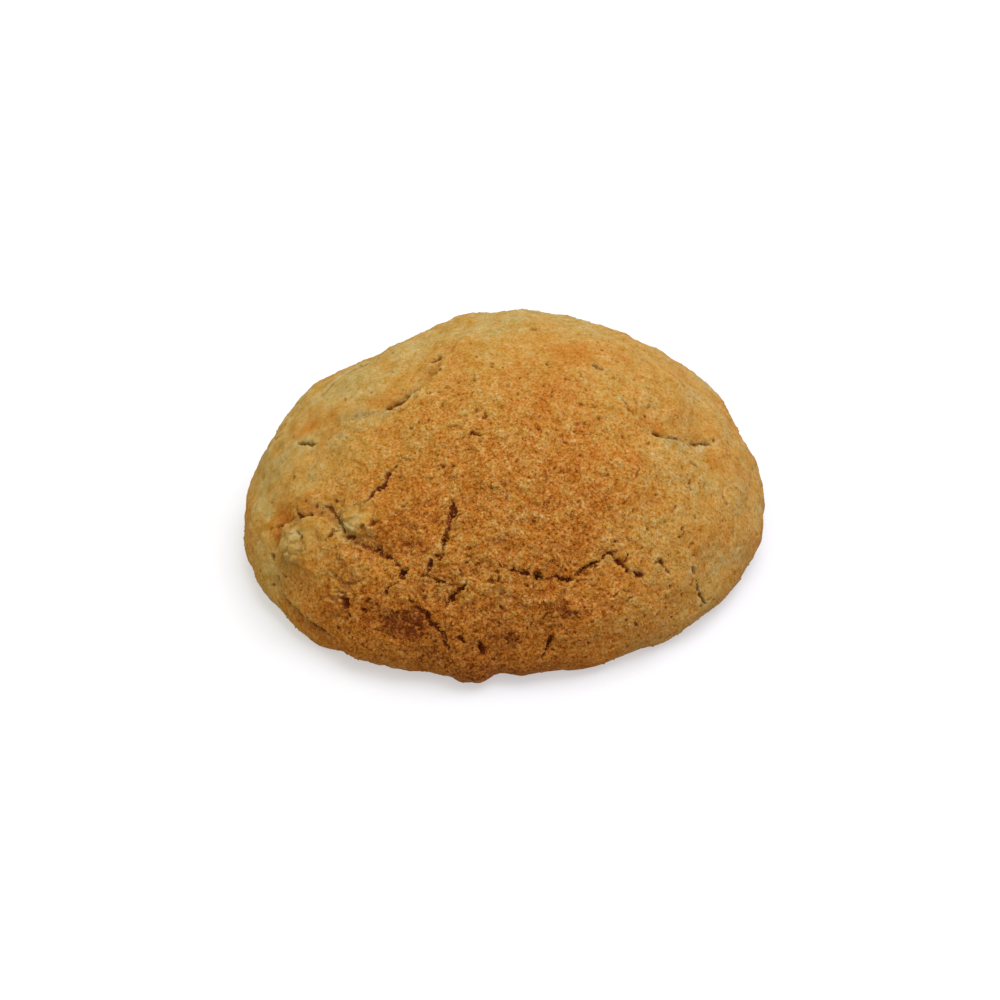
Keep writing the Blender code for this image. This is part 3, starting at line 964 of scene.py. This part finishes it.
class COOKIE_OT_crumbs(Operator):
    """Scatter fine crumbs over the sandy crust, as one joined mesh"""

    bl_idname = "cookie.crumbs"
    bl_label = "Crumbs"

    def execute(self, context):
        crust = bpy.data.objects["crust"].data
        count = context.scene.cookie_shape.crumbs
        draw = np.random.default_rng(CRUMB_SEED)
        points, triangles = read_points(crust), read_triangles(crust)
        sandy, browned = read_values(crust, "sandy"), read_values(crust, "browned")
        corners = points[triangles]
        crosses = np.cross(corners[:, 1] - corners[:, 0], corners[:, 2] - corners[:, 0])
        areas = np.linalg.norm(crosses, axis=1)
        share = areas * np.maximum(sandy[triangles].mean(axis=1) - CRUMB_SMOOTH, 0) ** 2
        share[corners[:, :, 2].min(axis=1) < COOKIE_LOW.z + CRUMB_FOOT] = 0
        picked = draw.choice(len(triangles), count, p=share / share.sum())
        blend = draw.dirichlet((1, 1, 1), count)
        places = np.einsum("ij,ijk->ik", blend, corners[picked])
        normals = crosses[picked] / areas[picked, None]

        piece, mesh = new_ball("crumbs", 1)
        grain, faces = read_points(mesh), read_triangles(mesh)
        sizes = CRUMB_SIZES[0] + (CRUMB_SIZES[1] - CRUMB_SIZES[0]) * draw.random(count) ** 2
        uneven = 1 + CRUMB_UNEVEN * draw.uniform(-1, 1, (count, len(grain), 1))
        shapes = grain * uneven * draw.uniform(*CRUMB_STRETCH, (count, 1, 3))
        shapes = np.einsum("nij,nkj->nki", random_turns(draw, count), shapes) * sizes[:, None, None]
        shapes += (places - normals * (sizes * CRUMB_SINK)[:, None])[:, None, :]
        numbers = faces + len(grain) * np.arange(count)[:, None, None]
        mesh.clear_geometry()
        mesh.from_pydata(shapes.reshape(-1, 3), [], numbers.reshape(-1, 3))
        mesh.update()
        write_value(mesh, "browned", np.repeat(browned[triangles[picked, 0]], len(grain)))
        write_value(mesh, "shade", np.repeat(draw.random(count), len(grain)))
        mesh.materials.append(crumb_material(context.scene.cookie_look))
        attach(piece, "root")
        return {"FINISHED"}


# ---------------------------------------------------------------- materials

# Sizes of the patterns in the crust's colour, and of the grit in its bump.
LUMP_SIZE = 2.2 * MM
FINE_SIZE = 0.8 * MM
SPECK_SIZE = 0.43 * MM
CLUMP_SIZE = 1.5 * MM
MOTTLE_SIZE = 3.2 * MM
SUGAR_SIZE = 0.5 * MM
GRIT_SIZE = 0.3 * MM

NOISE_RANGE = (0.3, 0.7)  # nearly all of a noise texture's values are in this
SANDY_RANGE = (0.3, 0.9)  # from smooth crust to sandy
RISE_RANGE = (0.1, 0.9)  # from the hollows of the grain to its tops

# How browned the dough is where it is pale, golden, brown and dark.
BROWNING_STOPS = (0.0, 0.33, 0.62, 1.0)
LUMP_DRIFT = (-0.04, 0.04)
HOLLOW_BROWNING_AND_SHADE = (0.16, -0.08)  # what the grain's hollows and tops add to the browning; the darker hollows are partly painted shade
SPECK_RANGE = (0.32, 0.60)
SPECK_SWING = (1.0, -0.7)  # how far the specks darken and lighten the dough
SPECK_BROWNED = (0.55, 0.9)  # between these brownings their effect grows
SPECK_BROWNING_AND_SHADE = (0.15, 0.32)  # from the first of these to the second

# What the speckles of single grains, from dark to light, make of the crust's red, green and blue; the dark
# speckles are partly painted shade between grains.
SPECKLES = (
    (0.30, (0.52, 0.32, 0.03)),
    (0.41, (0.90, 0.80, 0.45)),
    (0.50, (1.0, 1.0, 1.0)),
    (0.60, (1.05, 1.11, 1.45)),
    (0.70, (1.22, 1.42, 2.9)),
)
# What the clumps of grains make of it.
CLUMPS = ((0.32, (0.91, 0.85, 0.65)), (0.68, (1.07, 1.13, 1.4)))
# What the soft mottling of smooth crust makes of it.
MOTTLES = ((0.30, (0.90, 0.83, 0.64)), (0.70, (1.07, 1.14, 1.38)))

# Strength of the speckles, the mottling and the grit on smooth crust and on sandy.
SPECKLE_STRENGTH = (0.25, 1.0)
MOTTLE_STRENGTH = (1.0, 0.3)
GRIT_STRENGTH = (0.35, 1.0)

# The sugar grains are pale, partly as a painted glint.
SUGAR_DOT = (0.40, 0.15)  # from the edge of a grain to its middle, in cells
SUGAR_CHANCE = (0.70, 0.95)  # the cells that hold a faint grain and a bright one
SUGAR_STRENGTH = 0.4
ROUGHNESS = (0.62, 0.86)
DOUGH_IOR = 1.4

CRUMB_SHADES = (-0.22, 0.10)  # what the palest and darkest crumbs add to the browning
CRUMB_RISE = 0.5
CRUMB_SANDY = 0.3
PALENESS_AND_HIGHLIGHT = 0.12  # what the torn lips of cracks, paler dough and partly a painted highlight, and the rims of ledges, a painted highlight, take from it
# How dark the painted shade at the feet of ledges is.
FOOT_SHADE_DARKNESS = 0.6
DEEP_RANGE = (0.08, 0.55)  # depths at which the inside's darker colour, partly painted shade, begins and is full
INSIDE_BROWNED = (0.26, 0.44)  # from the pale colour inside cracks to the brown one


def set_sockets(tree, node, sockets):
    """Links each of the node's sockets to an output, or sets it to a number or a colour."""
    for socket, value in sockets.items():
        if isinstance(value, bpy.types.NodeSocket):
            tree.links.new(value, node.inputs[socket])
        else:
            node.inputs[socket].default_value = value


def add_node(tree, kind, sockets=None, **settings):
    node = tree.nodes.new(kind)
    for setting, value in settings.items():
        setattr(node, setting, value)
    set_sockets(tree, node, sockets or {})
    return node


def math_node(tree, operation, first, second):
    return add_node(tree, "ShaderNodeMath", {0: first, 1: second}, operation=operation).outputs[0]


def spread(tree, value, low, high, to_low=0.0, to_high=1.0):
    """The value, moved from the range low to high into another one and kept inside that."""
    sockets = dict(enumerate((value, low, high, to_low, to_high)))
    return add_node(tree, "ShaderNodeMapRange", sockets).outputs[0]


def mix(tree, share, first, second, blend="MIX"):
    sockets = {0: share, 6: first, 7: second}
    return add_node(tree, "ShaderNodeMix", sockets, data_type="RGBA", blend_type=blend).outputs[2]


def noise_value(tree, vector, size, detail=2.0, rough=0.5):
    sockets = {"Vector": vector, "Scale": 1 / size, "Detail": detail, "Roughness": rough}
    return add_node(tree, "ShaderNodeTexNoise", sockets).outputs["Fac"]


def cell_values(tree, vector, size):
    """Distance from the nearest cell's middle, and a random number for each cell."""
    node = add_node(tree, "ShaderNodeTexVoronoi", {"Vector": vector, "Scale": 1 / size})
    split = add_node(tree, "ShaderNodeSeparateColor", {0: node.outputs["Color"]})
    return node.outputs["Distance"], split.outputs[0]


def attribute(tree, name):
    return add_node(tree, "ShaderNodeAttribute", attribute_name=name).outputs["Fac"]


def texture_place(tree, output="Object"):
    return add_node(tree, "ShaderNodeTexCoord").outputs[output]


def colour_ramp(tree, value, stops):
    node = add_node(tree, "ShaderNodeValToRGB", {0: value})
    ramp = node.color_ramp
    while len(ramp.elements) < len(stops):
        ramp.elements.new(0.5)
    for element, (position, colour) in zip(ramp.elements, stops):
        element.position = position
        element.color = (*colour, 1.0)
    return node.outputs[0]


def sandy_tone_group(look):
    """Baked dough's colour: its browning, the mottle and speckle of its grain, and bright sugar."""
    tree = bpy.data.node_groups.new("sandy_tone", "ShaderNodeTree")
    face = tree.interface
    face.new_socket("Vector", in_out="INPUT", socket_type="NodeSocketVector")
    for name, default in (("Browned", 0.4), ("Rise", 0.5), ("Sandy", 1.0)):
        face.new_socket(name, in_out="INPUT", socket_type="NodeSocketFloat").default_value = default
    face.new_socket("Color", in_out="OUTPUT", socket_type="NodeSocketColor")
    face.new_socket("Height", in_out="OUTPUT", socket_type="NodeSocketFloat")
    face.new_socket("Roughness", in_out="OUTPUT", socket_type="NodeSocketFloat")
    given = add_node(tree, "NodeGroupInput").outputs
    vector, sandy = given["Vector"], given["Sandy"]
    # Browning drifts a little from lump to lump, and hollows between grains are darker, partly as painted
    # shade.
    browned = given["Browned"]
    fine = noise_value(tree, vector, FINE_SIZE)
    for lump in (noise_value(tree, vector, LUMP_SIZE), fine):
        browned = math_node(tree, "ADD", browned, spread(tree, lump, *NOISE_RANGE, *LUMP_DRIFT))
    fallen = spread(tree, given["Rise"], *RISE_RANGE, *HOLLOW_BROWNING_AND_SHADE)
    browned = math_node(tree, "ADD", browned, math_node(tree, "MULTIPLY", fallen, sandy))
    # Dark specks between single grains, partly darker dough and partly painted shade, most of all where
    # the crust is brown.
    speck = noise_value(tree, vector, SPECK_SIZE, rough=0.65)
    swing = spread(tree, given["Browned"], *SPECK_BROWNED, *SPECK_BROWNING_AND_SHADE)
    baked = math_node(tree, "MULTIPLY", spread(tree, speck, *SPECK_RANGE, *SPECK_SWING), sandy)
    browned = math_node(tree, "ADD", browned, math_node(tree, "MULTIPLY", baked, swing))
    stops = tuple(zip(BROWNING_STOPS, (look.pale, look.golden, look.brown, look.dark)))
    colour = colour_ramp(tree, browned, stops)
    # Speckle of single grains, its dark end partly painted shade, stronger where the crust is sandy, and
    # their clumps.
    strength = spread(tree, sandy, *SANDY_RANGE, *SPECKLE_STRENGTH)
    colour = mix(tree, strength, colour, colour_ramp(tree, speck, SPECKLES), "MULTIPLY")
    clump = colour_ramp(tree, noise_value(tree, vector, CLUMP_SIZE), CLUMPS)
    colour = mix(tree, 1.0, colour, clump, "MULTIPLY")
    # Mottling, stronger where the crust is smooth.
    mottle = colour_ramp(tree, noise_value(tree, vector, MOTTLE_SIZE, detail=3.0, rough=0.6), MOTTLES)
    smooth = spread(tree, sandy, *SANDY_RANGE, *MOTTLE_STRENGTH)
    colour = mix(tree, smooth, colour, mix(tree, 1.0, colour, mottle, "MULTIPLY"))
    # Bright grains of sugar, partly a painted glint.
    distance, chance = cell_values(tree, vector, SUGAR_SIZE)
    dot = spread(tree, distance, *SUGAR_DOT)
    bright = spread(tree, chance, *SUGAR_CHANCE, 0.0, SUGAR_STRENGTH)
    bright = math_node(tree, "MULTIPLY", math_node(tree, "MULTIPLY", dot, bright), sandy)
    rough = spread(tree, sandy, *SANDY_RANGE, *GRIT_STRENGTH)
    made = {
        "Color": mix(tree, bright, colour, (*look.sugar, 1.0)),
        "Height": math_node(tree, "MULTIPLY", noise_value(tree, vector, GRIT_SIZE), rough),
        "Roughness": spread(tree, fine, *NOISE_RANGE, *ROUGHNESS),
    }
    add_node(tree, "NodeGroupOutput", made)
    return tree


def sandy_tone(tree, look, browned, rise, sandy):
    """The colour, grit and roughness of baked dough, placed in a material."""
    group = bpy.data.node_groups.get("sandy_tone") or sandy_tone_group(look)
    sockets = {"Vector": texture_place(tree), "Browned": browned, "Rise": rise, "Sandy": sandy}
    return add_node(tree, "ShaderNodeGroup", sockets, node_tree=group).outputs


def new_material(name, constants):
    """A material, its node tree and its shader, with the constants on the shader's own sockets."""
    material = bpy.data.materials.new(name)
    material.use_nodes = True
    tree = material.node_tree
    shader = tree.nodes["Principled BSDF"]
    set_sockets(tree, shader, constants)
    return material, tree, shader


def crumb_material(look):
    constants = {"IOR": DOUGH_IOR, "Specular IOR Level": 0.08}
    material, tree, shader = new_material("baked_crumb", constants)
    shade = spread(tree, attribute(tree, "shade"), 0.0, 1.0, *CRUMB_SHADES)
    browned = math_node(tree, "ADD", attribute(tree, "browned"), shade)
    tone = sandy_tone(tree, look, browned, CRUMB_RISE, CRUMB_SANDY)
    set_sockets(tree, shader, {"Base Color": tone["Color"], "Roughness": tone["Roughness"]})
    return material


def crust_material(look):
    constants = {"IOR": DOUGH_IOR, "Specular IOR Level": 0.06}
    material, tree, shader = new_material("baked_crust", constants)
    browned = attribute(tree, "browned")
    # The torn lips of cracks show paler dough, partly as a painted highlight, and the rims of ledges show
    # a painted highlight.
    rim_highlight = math_node(tree, "MULTIPLY", attribute(tree, "rim_highlight"), PALENESS_AND_HIGHLIGHT)
    lip = math_node(tree, "MULTIPLY", attribute(tree, "lip"), -PALENESS_AND_HIGHLIGHT)
    paler = math_node(tree, "ADD", browned, math_node(tree, "SUBTRACT", lip, rim_highlight))
    tone = sandy_tone(tree, look, paler, attribute(tree, "rise"), attribute(tree, "sandy"))
    colour = mix(tree, attribute(tree, "red"), tone["Color"], (*look.red, 1.0), "MULTIPLY")
    # The inside of cracks, pores and creases is darker, partly as painted shade, and the feet of ledges
    # get painted shade; both are darkest where the crust is brown.
    foot = math_node(tree, "MULTIPLY", attribute(tree, "foot"), FOOT_SHADE_DARKNESS)
    deep = spread(tree, attribute(tree, "deep"), *DEEP_RANGE)
    baked = spread(tree, browned, *INSIDE_BROWNED)
    inside = mix(tree, baked, (*look.inside_pale, 1.0), (*look.inside, 1.0))
    bump = {"Strength": 0.7, "Distance": 0.2 * MM, "Height": tone["Height"]}
    sockets = {
        "Base Color": mix(tree, math_node(tree, "MAXIMUM", deep, foot), colour, inside),
        "Roughness": tone["Roughness"],
        "Normal": add_node(tree, "ShaderNodeBump", bump).outputs[0],
    }
    set_sockets(tree, shader, sockets)
    return material


def floor_material(stage):
    constants = {
        "Base Color": (*stage.floor, 1.0),
        "Emission Color": (1.0, 1.0, 1.0, 1.0),
        "Emission Strength": stage.floor_glow,
        "Roughness": 0.9,
        "Specular IOR Level": 0.0,
    }
    return new_material("white_floor", constants)[0]


# ---------------------------------------------------------------- the stage

FLOOR_SIZE = 6.0
AIM = 10 * MM  # height of the point that the camera aims at
# Where the cookie stands in the picture, right of and above its middle.
PICTURE_SHIFT = (0.99 * MM, 2.37 * MM)
SENSOR = 36.0
KEY_PLACE = (0.28, 0.1, 1.1)
KEY_SIZE = 1.0
# Over which directions the even light changes, from left to right and upwards.
FILL_ACROSS = (-0.9, 0.9)
FILL_UPWARDS = (-0.1, 0.3)


def aimed(place, target):
    return (Vector(target) - Vector(place)).to_track_quat("-Z", "Y").to_euler()


def studio_world(stage):
    """Even light from above, weaker from below, a little warmer on the left than on the right."""
    world = bpy.data.worlds.new("studio")
    world.use_nodes = True
    tree = world.node_tree
    split = add_node(tree, "ShaderNodeSeparateXYZ", {0: texture_place(tree, "Generated")}).outputs
    across = spread(tree, split["X"], *FILL_ACROSS)
    low = stage.fill * stage.below
    sockets = {
        "Strength": spread(tree, split["Z"], *FILL_UPWARDS, low, stage.fill),
        "Color": mix(tree, across, (*stage.fill_left, 1.0), (*stage.fill_right, 1.0)),
    }
    set_sockets(tree, tree.nodes["Background"], sockets)
    return world


class COOKIE_OT_stage(Operator):
    """Set up the floor, the soft light and the camera"""

    bl_idname = "cookie.stage"
    bl_label = "Stage"

    def execute(self, context):
        scene = context.scene
        stage = scene.cookie_stage
        scene.view_settings.view_transform = "Standard"
        deselect_all()
        bpy.ops.mesh.primitive_plane_add(size=FLOOR_SIZE, location=(0, 0, COOKIE_LOW.z))
        floor = context.object
        floor.name = floor.data.name = "floor"
        floor.data.materials.append(floor_material(stage))
        floor.visible_diffuse = False
        floor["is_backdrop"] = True
        scene.world = studio_world(stage)

        bpy.ops.object.light_add(type="AREA", location=KEY_PLACE)
        key = context.object
        key.name = "key_light"
        key.rotation_euler = aimed(KEY_PLACE, COOKIE_MIDDLE)
        key.data.size = KEY_SIZE
        key.data.energy = stage.key

        back = Vector((0, -math.cos(stage.elevation), math.sin(stage.elevation)))
        up = Vector((0, math.sin(stage.elevation), math.cos(stage.elevation)))
        target = Vector((0, 0, AIM)) - PICTURE_SHIFT[0] * Vector((1, 0, 0)) - PICTURE_SHIFT[1] * up
        place = target + stage.distance * back
        bpy.ops.object.camera_add(location=place, rotation=aimed(place, target))
        camera = context.object
        camera.data.sensor_width = SENSOR
        camera.data.lens = stage.lens
        camera.data.clip_start = 0.01
        scene.camera = camera
        return {"FINISHED"}


class COOKIE_PT_panel(Panel):
    """The cookie's sizes, colours and steps"""

    bl_label = "Drop cookie"
    bl_idname = "COOKIE_PT_panel"
    bl_space_type = "VIEW_3D"
    bl_region_type = "UI"
    bl_category = "Cookie"

    def draw(self, context):
        layout = self.layout
        for name, settings in SETTINGS.items():
            box = layout.box()
            group = getattr(context.scene, name)
            for setting in settings.__annotations__:
                box.prop(group, setting)
        for step in STEPS:
            layout.operator(step.bl_idname)


SETTINGS = {"cookie_shape": CookieShape, "cookie_look": CookieLook, "cookie_stage": CookieStage}
STEPS = (COOKIE_OT_crust, COOKIE_OT_crumbs, COOKIE_OT_stage)
CLASSES = (*SETTINGS.values(), *STEPS, COOKIE_PT_panel)


def register():
    for made in CLASSES:
        bpy.utils.register_class(made)
    for name, settings in SETTINGS.items():
        setattr(bpy.types.Scene, name, PointerProperty(type=settings))


def unregister():
    for name in SETTINGS:
        delattr(bpy.types.Scene, name)
    for made in reversed(CLASSES):
        bpy.utils.unregister_class(made)


def main():
    register()
    bpy.ops.cookie.crust()
    bpy.ops.cookie.crumbs()
    bpy.ops.cookie.stage()
    sizes = {"cad": CAD_BOX, "visual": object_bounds()}
    {name: [list(corner) for corner in box] for name, box in sizes.items()}


if __name__ == "__main__":
    main()
